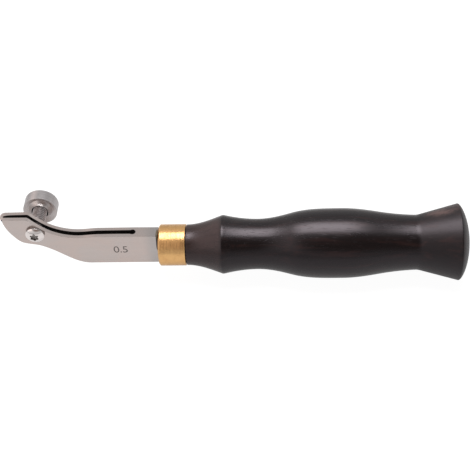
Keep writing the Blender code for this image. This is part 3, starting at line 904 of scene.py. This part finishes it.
class CREASER_OT_blade(bpy.types.Operator):
    """Shape the blade bar with its fixed jaw, slit, relief hole and size mark"""

    bl_idname = "creaser.blade"
    bl_label = "Blade"

    def execute(self, context):
        settings = context.scene.creaser_blade
        high, low = blade_edges(0.0, HEEL[0], TIP_CORNER)
        near_face, far_face = NEAR_FACE / MM, FAR_FACE / MM
        blade = bar("blade", high, low, lambda x: near_face, lambda x: far_face, settings.edge_break)
        steel = new_surface("brushed_steel", steel_look, settings)
        # The slit's walls and the screw hole get near-black steel as painted shade
        dark = new_surface("slit_steel", oxide_and_shade_look, settings.slit_shade_colour)
        blade.data.materials.append(steel)
        self.draw_tang(blade)
        cut(blade, self.slit_cutter(dark))
        cut(blade, round_cutter(SCREW_HOLE, dark))
        cut(blade, self.mark_cutter(settings))
        finish_piece(blade, steel, "tool", "fixed_jaw", flat=True)
        bead = self.squeeze_bead()
        make_active(bead)
        bpy.ops.object.shade_smooth()
        bead.data.materials.append(new_surface("dried_glue", glue_look, settings.glue_colour))
        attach(bead, "tool")
        return {"FINISHED"}

    def squeeze_bead(self):
        """A bead of dried glue, squeezed out where the shank meets the ferrule."""
        bead = start_piece("glue_bead")
        place = FERRULE_FRONT - BEAD_OFFSET
        draw_chain([Vector((place, y * MM, AXIS_HEIGHT + z * MM)) for y, z, _ in BEAD_NODES])
        bpy.ops.object.mode_set(mode="OBJECT")
        make_active(bead)
        bpy.ops.object.modifier_add(type="SKIN")
        for vert, node in zip(bead.data.skin_vertices[0].data, BEAD_NODES):
            vert.radius = (node[2] * MM, node[2] * MM)
        bpy.ops.object.modifier_apply(modifier=bead.modifiers[0].name)
        bpy.ops.object.mode_set(mode="EDIT")
        bpy.ops.mesh.select_all(action="SELECT")
        bpy.ops.mesh.subdivide(number_cuts=2, smoothness=1.0)
        bpy.ops.transform.vertex_random(offset=BEAD_WOBBLE, seed=3)
        close_up()
        bpy.ops.object.mode_set(mode="OBJECT")
        round_off = bead.modifiers.new("round_off", "SUBSURF")
        round_off.levels = 1
        round_off.render_levels = 1
        bpy.ops.object.modifier_apply(modifier=round_off.name)
        return bead

    def draw_tang(self, blade):
        """Draw the tang out of the heel."""
        make_active(blade)
        bpy.ops.object.mode_set(mode="EDIT")
        heel = TIP + HEEL[0] * MM

        def at_heel(face):
            return face.normal.x > 0.9 and face.calc_center_median().x > heel - 0.1 * MM

        select_where(blade, "faces", at_heel)
        bpy.ops.mesh.extrude_region_move(TRANSFORM_OT_translate={"value": (0, 0, 0)})
        bpy.ops.transform.resize(value=TANG_SHARES)
        bpy.ops.mesh.extrude_region_move(TRANSFORM_OT_translate={"value": (TANG_REACH, 0, 0)})
        close_up()
        bpy.ops.object.mode_set(mode="OBJECT")

    def slit_cutter(self, surface):
        """The slit, its round end and the room of the spring jaw, seen from above."""
        middle = FIXED_INNER + SLIT_AT_ROOT / 2
        outline = [(SLIT_OPEN_END, SLIT_OPEN_SIDE), (SLIT_STOP, SLIT_OPEN_SIDE)]
        mouth = pi - asin((middle - FIXED_INNER) / RELIEF_RADIUS)
        for step in range(RELIEF_STEPS + 1):
            swing = pi / 2 - (pi / 2 + mouth) * step / RELIEF_STEPS
            outline.append((SLIT_STOP + RELIEF_RADIUS * cos(swing), middle + RELIEF_RADIUS * sin(swing)))
        outline += SLIT_BOW + ((SLIT_OPEN_END, FIXED_INNER),)
        points = [Vector((TIP + x * MM, y * MM, SLIT_FLOOR * MM)) for x, y in outline]
        cutter = prism("slit_cutter", points, (0, 0, SLIT_HEIGHT * MM))
        cutter.data.materials.append(surface)
        return cutter

    def mark_cutter(self, settings):
        """The size number, standing on the near face."""
        bpy.ops.object.text_add(location=(0, 0, 0))
        mark = bpy.context.object
        mark.data.body = settings.mark
        mark.data.align_x = "CENTER"
        mark.data.align_y = "CENTER"
        mark.data.size = settings.mark_height / FIGURE_HEIGHT
        mark.data.extrude = settings.mark_depth
        mark.data.space_character = MARK_SPACING
        bpy.ops.object.convert(target="MESH")
        mark = bpy.context.object
        mark.rotation_euler = (pi / 2, 0, 0)
        mark.location = (MARK_PLACE, NEAR_FACE, AXIS_HEIGHT + MARK_LIFT)
        bpy.ops.object.transform_apply(location=True, rotation=True, scale=True)
        bpy.ops.object.mode_set(mode="EDIT")
        close_up()
        bpy.ops.object.mode_set(mode="OBJECT")
        mark.data.materials.clear()
        mark.data.materials.append(new_surface("number_steel", oxide_and_shade_look, settings.mark_colour))
        return mark


class CREASER_OT_spring_jaw(bpy.types.Operator):
    """Shape the springy jaw on the knob's side"""

    bl_idname = "creaser.spring_jaw"
    bl_label = "Spring jaw"

    def execute(self, context):
        settings = context.scene.creaser_blade
        middle = FIXED_INNER + SLIT_AT_ROOT / 2
        closing, closing_reach = settings.tip_closing / MM, settings.tip_closing_reach / MM

        def inner(place):
            lean = closing * exp(-max(place, 0.0) / closing_reach)
            face = FIXED_INNER + slit_width(place) - lean
            into_relief = RELIEF_RADIUS ** 2 - (SLIT_STOP - place) ** 2
            return max(face, middle + sqrt(into_relief)) if into_relief > 0 else face

        def outer(place):
            lead = max(0.0, 1 - (place + GUIDE_REACH) / GUIDE_LEAD[0])
            return FIXED_INNER + slit_width(place) + SPRING_THICKNESS - GUIDE_LEAD[1] * lead ** 2

        root = [SLIT_STOP - ROOT_RUN * share for share in ROOT_SHARES]
        high, low = blade_edges(-GUIDE_REACH, SLIT_STOP, GUIDE_CORNER, GUIDE_NODES, root)
        jaw = bar("spring_leaf", high, low, inner, outer, settings.edge_break, joined=True)
        steel = bpy.data.materials["brushed_steel"]
        dark = bpy.data.materials["slit_steel"]
        jaw.data.materials.append(steel)
        jaw.data.materials.append(dark)
        lit = AXIS_HEIGHT + (HEAD_TOP - LIT_DEPTH) * MM
        bpy.ops.object.mode_set(mode="EDIT")
        select_where(jaw, "faces", lambda f: f.normal.y < -0.5 and f.calc_center_median().x < TIP + MM)
        bpy.ops.mesh.bisect(plane_co=(0, 0, lit), plane_no=(0, 0, 1), threshold=MERGE)
        bpy.ops.object.mode_set(mode="OBJECT")

        # Painted shade: the spring jaw's inner face gets the slit's near-black steel, all but the top of
        # its tip
        def in_slit(face):
            spot = face.calc_center_median()
            return face.normal.y < -0.5 and (spot.x > TIP + LIT_REACH or spot.z < lit)

        paint_faces(jaw, 1, in_slit)
        cut(jaw, round_cutter(STUD_HOLE, dark))
        finish_piece(jaw, steel, None, "spring_jaw", flat=True)
        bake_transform(jaw)
        return {"FINISHED"}


def from_axis(face):
    """Distance of a face's middle from the adjusting screw's axis."""
    middle = face.calc_center_median()
    return hypot(middle.x - ADJUSTER.x, middle.z - ADJUSTER.z)


def about_adjuster(outline):
    """Profile points (place along the screw's axis, radius) set on the adjusting screw's axis."""
    return [Vector((ADJUSTER.x, p.x, ADJUSTER.z + p.y)) for p in outline]


class CREASER_OT_adjuster(bpy.types.Operator):
    """Turn the thumb knob and cut the threaded stud"""

    bl_idname = "creaser.adjuster"
    bl_label = "Knob and stud"

    def execute(self, context):
        settings = context.scene.creaser_adjuster
        steel = new_surface("knob_steel", turned_look, settings)
        dark = new_surface("bore_steel", oxide_and_shade_look, settings.bore_shade_colour)
        grip = new_surface("grip_steel", grip_look, settings)
        thread = new_surface("thread_steel", thread_look, settings)
        knob = self.make_knob(settings, steel, dark, grip)
        finish_piece(knob, steel, "adjuster", "adjuster_knob")
        stud = self.make_stud(settings)
        finish_piece(stud, thread, "adjuster", "adjuster_stud")
        return {"FINISHED"}

    def make_knob(self, settings, steel, dark, grip):
        """The knob, with a filleted boss towards the stud and a shallow dish in its far end."""
        radius = half_height("adjuster_knob")
        bore, bore_end = settings.knob_bore, STUD_END + BORE_SPARE
        edge = settings.knob_edge
        rim = KNOB_BOSS + settings.knob_drop
        side_start, side_end = rim + edge, KNOB_END - settings.knob_chamfer
        lip = (KNOB_BOSS + BOSS_LIP[0], bore + BOSS_LIP[1], COVE_HEADINGS[0])
        foot = (lip[0] + settings.boss_height, lip[1] + settings.boss_spread, COVE_HEADINGS[1])
        cove = [tuple(point) for point in smooth_run(lip, foot)]
        corners = [(bore_end, 0.0), (bore_end, bore), (lip[0], bore), lip[:2]]
        corners += cove + [(rim, radius - edge), (side_start, radius)]
        reaches = [*BOSS_ROUNDS] + [0] * (len(cove) - 1) + [*RIM_ROUNDS]
        for groove in range(settings.knob_grooves):
            middle = side_start + (side_end - side_start) * (groove + 0.7) / (settings.knob_grooves + 0.4)
            for step, depth in ((-1, 0.0), (0, 1.0), (1, 0.0)):
                corners.append((middle + GROOVE_SIZE[0] * step, radius - GROOVE_SIZE[1] * depth))
                reaches.append(0)
        corners += [
            (side_end, radius), (KNOB_END, radius - settings.knob_chamfer), (KNOB_END, radius - END_LAND),
            (KNOB_END - END_DISH[0], radius - END_DISH[1]), (KNOB_END - END_DISH[0], 0.0),
        ]
        reaches += [END_ROUND] * 4
        outline = eased_line(corners, reaches)
        knob = turn("thumb_knob", about_adjuster(outline), ADJUSTER, (0, 1, 0), SMALL_STEPS)
        for surface in (steel, dark, grip):
            knob.data.materials.append(surface)

        def in_bore(face):
            return from_axis(face) < bore + 0.01 * MM and face.calc_center_median().y < bore_end + 0.1 * MM

        def on_side(face):
            return from_axis(face) > radius - 0.05 * MM

        # The bore's faces get near-black steel as painted shade
        paint_faces(knob, 1, in_bore)
        paint_faces(knob, 2, on_side)
        return knob

    def make_stud(self, settings):
        """The stud, with a right-hand thread over its whole length."""
        major = STUD_RADIUS
        minor = major - settings.thread_depth
        pitch = settings.pitch
        stations = zip(THREAD_SHARES, (minor, minor, major, major, minor, minor))
        start = STUD_FOOT - 1.5 * pitch
        turns = int((STUD_END - STUD_FOOT) / pitch) + 4
        stud = start_piece("threaded_stud")
        draw_chain([Vector((0.0, start + share * pitch, radius)) for share, radius in stations])
        bpy.ops.object.mode_set(mode="OBJECT")
        make_active(stud)
        helix = stud.modifiers.new("thread", "SCREW")
        helix.axis = "Y"
        helix.screw_offset = pitch
        helix.iterations = turns
        helix.steps = THREAD_STEPS
        helix.render_steps = THREAD_STEPS
        helix.use_merge_vertices = False
        bpy.ops.object.modifier_apply(modifier=helix.name)
        bpy.ops.object.mode_set(mode="EDIT")
        close_up()
        for end, outwards in ((STUD_FOOT, -1), (STUD_END, 1)):
            bpy.ops.mesh.select_all(action="SELECT")
            bpy.ops.mesh.bisect(
                plane_co=(0, end, 0), plane_no=(0, outwards, 0),
                use_fill=True, clear_outer=True, threshold=MERGE,
            )
        close_up()
        bpy.ops.mesh.select_all(action="SELECT")
        bpy.ops.transform.translate(value=ADJUSTER)
        bpy.ops.object.mode_set(mode="OBJECT")
        return stud


class CREASER_OT_screw(bpy.types.Operator):
    """Turn the domed retaining screw and cut its lobed socket"""

    bl_idname = "creaser.screw"
    bl_label = "Retaining screw"

    def execute(self, context):
        settings = context.scene.creaser_adjuster
        steel = new_surface("head_steel", screw_look, settings)
        dark = new_surface("socket_steel", oxide_and_shade_look, settings.socket_shade_colour)
        head = half_height("retaining_screw") + HEAD_SPREAD
        seat = NEAR_FACE - HEAD_GAP
        wall_end = NEAR_FACE - settings.head_wall
        rise = settings.head_dome
        ball = (head * head + rise * rise) / (2 * rise)
        dome = []
        for step in range(2 * RUN_STEPS + 1):
            swing = asin(head / ball) * (1 - step / (2 * RUN_STEPS))
            dome.append(Vector((wall_end + ball - rise - ball * cos(swing), ball * sin(swing))))
        corners = (
            (SCREW_TIP, 0.0), (SCREW_TIP, SCREW_SHANK), (seat, SCREW_SHANK),
            (seat, head - settings.head_taper), (wall_end, head),
        )
        outline = eased(eased_line(corners, SCREW_ROUNDS), dome, CROWN_ROUND)
        screw = turn("lobed_screw", about_adjuster(outline), ADJUSTER, (0, 1, 0), SMALL_STEPS)
        screw.data.materials.append(steel)
        screw.data.materials.append(new_surface("wall_steel", oxide_and_shade_look, settings.wall_shade_colour))

        # The head's wall gets darker steel as painted shade
        def on_wall(face):
            return abs(face.normal.y) < 0.5 and wall_end < face.calc_center_median().y < NEAR_FACE

        paint_faces(screw, 1, on_wall)
        # The socket's faces get darker steel as painted shade
        cut(screw, self.socket_cutter(settings, dark))
        finish_piece(screw, steel, "adjuster", "retaining_screw")
        return {"FINISHED"}

    def socket_cutter(self, settings, surface):
        """The lobed socket, with a flat bottom."""
        points = []
        crown = NEAR_FACE - settings.head_wall - settings.head_dome
        steps = 16 * settings.lobe_count
        for step in range(steps):
            swing = 2 * pi * step / steps
            reach = settings.lobe_radius + settings.lobe_swing * cos(settings.lobe_count * swing)
            place = (ADJUSTER.x + reach * sin(swing), crown - MM, ADJUSTER.z + reach * cos(swing))
            points.append(Vector(place))
        cutter = prism("socket_cutter", points, (0, MM + settings.lobe_depth, 0))
        cutter.data.materials.append(surface)
        return cutter


class CREASER_OT_stage(bpy.types.Operator):
    """Set the floor, the soft light and the camera"""

    bl_idname = "creaser.stage"
    bl_label = "Stage"

    def execute(self, context):
        settings = context.scene.creaser_stage
        context.scene.view_settings.view_transform = "Standard"
        self.lay_floor(settings)
        self.hang_softbox(settings)
        self.light_world(context)
        self.aim_camera(context, settings)
        return {"FINISHED"}

    def lay_floor(self, settings):
        """A plain pale floor, which stays white for the camera and keeps the shadow."""
        bpy.ops.mesh.primitive_grid_add(
            x_subdivisions=8, y_subdivisions=8, size=FLOOR_SIZE, location=(0, 0, 0)
        )
        floor = bpy.context.object
        floor.name = "floor"
        surface = bpy.data.materials.new("pale_floor")
        surface.use_nodes = True
        graph = Graph(surface.node_tree)
        grain = graph.noise(graph.place(stretch=(90, 90, 90)))
        dull = [0.97 * part for part in settings.floor_colour]
        tone = graph.mix(grain * 0.04, settings.floor_colour, dull)
        matt = graph.node("ShaderNodeBsdfDiffuse", None, {"Color": tone})
        seen = graph.ray("Camera")
        mirrored = graph.ray("Glossy") + graph.ray("Transmission")
        y = graph.split(graph.place())[1]
        far = graph.rise(y * y, 0.0, 0.06)
        level = seen * 1.2 + mirrored * (0.82 - far * 0.5)
        glow = graph.node("ShaderNodeEmission", None, {"Color": (1, 1, 1, 1), "Strength": level})
        share = seen * 0.8 + mirrored * 0.65
        both = graph.node("ShaderNodeMixShader", None, {0: share, 1: matt, 2: glow})
        graph.node("ShaderNodeOutputMaterial", None, {"Surface": both})
        floor.data.materials.append(surface)

    def hang_softbox(self, settings):
        """One broad softbox overhead, with less power for the bare steel, which would flare."""
        place = (SOFTBOX_PLACE, settings.softbox_back, settings.softbox_height)
        lamps = (
            ("softbox_full", settings.full_power, FULL_LIT),
            ("softbox_half", settings.half_power, HALF_LIT),
            ("softbox_low", settings.low_power, LOW_LIT),
        )
        for name, watts, lit in lamps:
            bpy.ops.object.light_add(type="AREA", location=place)
            lamp = bpy.context.object
            lamp.name = name
            lamp.data.shape = "RECTANGLE"
            lamp.data.size = settings.softbox_length
            lamp.data.size_y = settings.softbox_depth
            lamp.data.energy = watts
            group = bpy.data.collections.new(name)
            for piece in lit:
                group.objects.link(bpy.data.objects[piece])
            lamp.light_linking.receiver_collection = group

    def light_world(self, context):
        """White all round, but dim in front of the tool where the camera stands."""
        world = bpy.data.worlds.new("studio")
        context.scene.world = world
        world.use_nodes = True
        graph = Graph(world.node_tree)
        heading = graph.node("ShaderNodeTexCoord", output="Generated")
        front = graph.rise(graph.towards(heading, DIM_SIDE), 0.77, 0.93)
        corner = graph.rise(graph.towards(heading, DIM_CORNER), 0.82, 0.95)
        seen = graph.ray("Camera")
        mirrored = graph.ray("Glossy") + graph.ray("Transmission")
        soft = (0.5 + mirrored * 0.5) * (1 - seen)
        x, _, z = graph.split(heading)
        left = graph.rise(0.0 - x, 0.22, 0.62) * graph.rise(z, 0.05, 0.5)
        room = graph.mix(graph.rise(x * x, 0.3, 0.7), ROOM_TONE, ENDS_TONE)
        room = graph.mix(left, room, LEFT_TONE)
        room = graph.mix(corner, room, CORNER_TONE)
        room = graph.mix(front, room, FRONT_TONE)
        tone = graph.mix(seen, room, WHITE)
        sky = graph.node("ShaderNodeBackground", None, {"Color": tone, "Strength": soft + seen})
        graph.node("ShaderNodeOutputWorld", None, {"Surface": sky})

    def aim_camera(self, context, settings):
        """A camera at the photograph's angle."""
        a, e, r = settings.azimuth, settings.elevation, settings.roll
        look = Vector((sin(a) * cos(e), cos(a) * cos(e), -sin(e)))
        level = Vector((cos(a), -sin(a), 0.0))
        upright = level.cross(look)
        right = cos(r) * level + sin(r) * upright
        up = cos(r) * upright - sin(r) * level
        spot = Vector((LOOK_PLACE, 0.0, AXIS_HEIGHT)) - settings.distance * look + settings.rise * up
        bpy.ops.object.camera_add(location=(0, 0, 0))
        camera = context.object
        camera.name = "camera"
        camera.data.sensor_width = 36.0
        camera.data.lens = settings.lens
        camera.data.clip_start = 0.01
        camera.data.clip_end = 20.0
        turned = Matrix((right, up, -look)).transposed().to_4x4()
        camera.matrix_world = Matrix.Translation(spot) @ turned
        context.scene.camera = camera


class CREASER_PT_panel(bpy.types.Panel):
    """Buttons and sizes of the creaser's pieces"""

    bl_idname = "CREASER_PT_panel"
    bl_label = "Leather creaser"
    bl_space_type = "VIEW_3D"
    bl_region_type = "UI"
    bl_category = "Creaser"

    def draw(self, context):
        for group, operators in PANEL_ROWS:
            box = self.layout.box()
            for operator in operators:
                box.operator(operator.bl_idname)
            settings = getattr(context.scene, group)
            for key in settings.__annotations__:
                box.prop(settings, key)


GROUPS = {
    "creaser_handle": CreaserHandle,
    "creaser_ferrule": CreaserFerrule,
    "creaser_blade": CreaserBlade,
    "creaser_adjuster": CreaserAdjuster,
    "creaser_stage": CreaserStage,
}
PANEL_ROWS = (
    ("creaser_handle", (CREASER_OT_handle,)),
    ("creaser_ferrule", (CREASER_OT_ferrule,)),
    ("creaser_blade", (CREASER_OT_blade, CREASER_OT_spring_jaw)),
    ("creaser_adjuster", (CREASER_OT_adjuster, CREASER_OT_screw)),
    ("creaser_stage", (CREASER_OT_stage,)),
)
OPERATORS = tuple(operator for _, operators in PANEL_ROWS for operator in operators)


def register():
    """Make the pieces' settings, operators and panel known to Blender."""
    for name, group in GROUPS.items():
        bpy.utils.register_class(group)
        setattr(bpy.types.Scene, name, PointerProperty(type=group))
    for operator in OPERATORS:
        bpy.utils.register_class(operator)
    bpy.utils.register_class(CREASER_PT_panel)


def unregister():
    """Take them away again."""
    bpy.utils.unregister_class(CREASER_PT_panel)
    for operator in reversed(OPERATORS):
        bpy.utils.unregister_class(operator)
    for name, group in reversed(GROUPS.items()):
        delattr(bpy.types.Scene, name)
        bpy.utils.unregister_class(group)


def main():
    """Make every piece and the stage."""
    register()
    bpy.ops.creaser.handle()
    bpy.ops.creaser.ferrule()
    bpy.ops.creaser.blade()
    bpy.ops.creaser.spring_jaw()
    bpy.ops.creaser.adjuster()
    bpy.ops.creaser.screw()
    bpy.ops.creaser.stage()


if __name__ == "__main__":
    main()
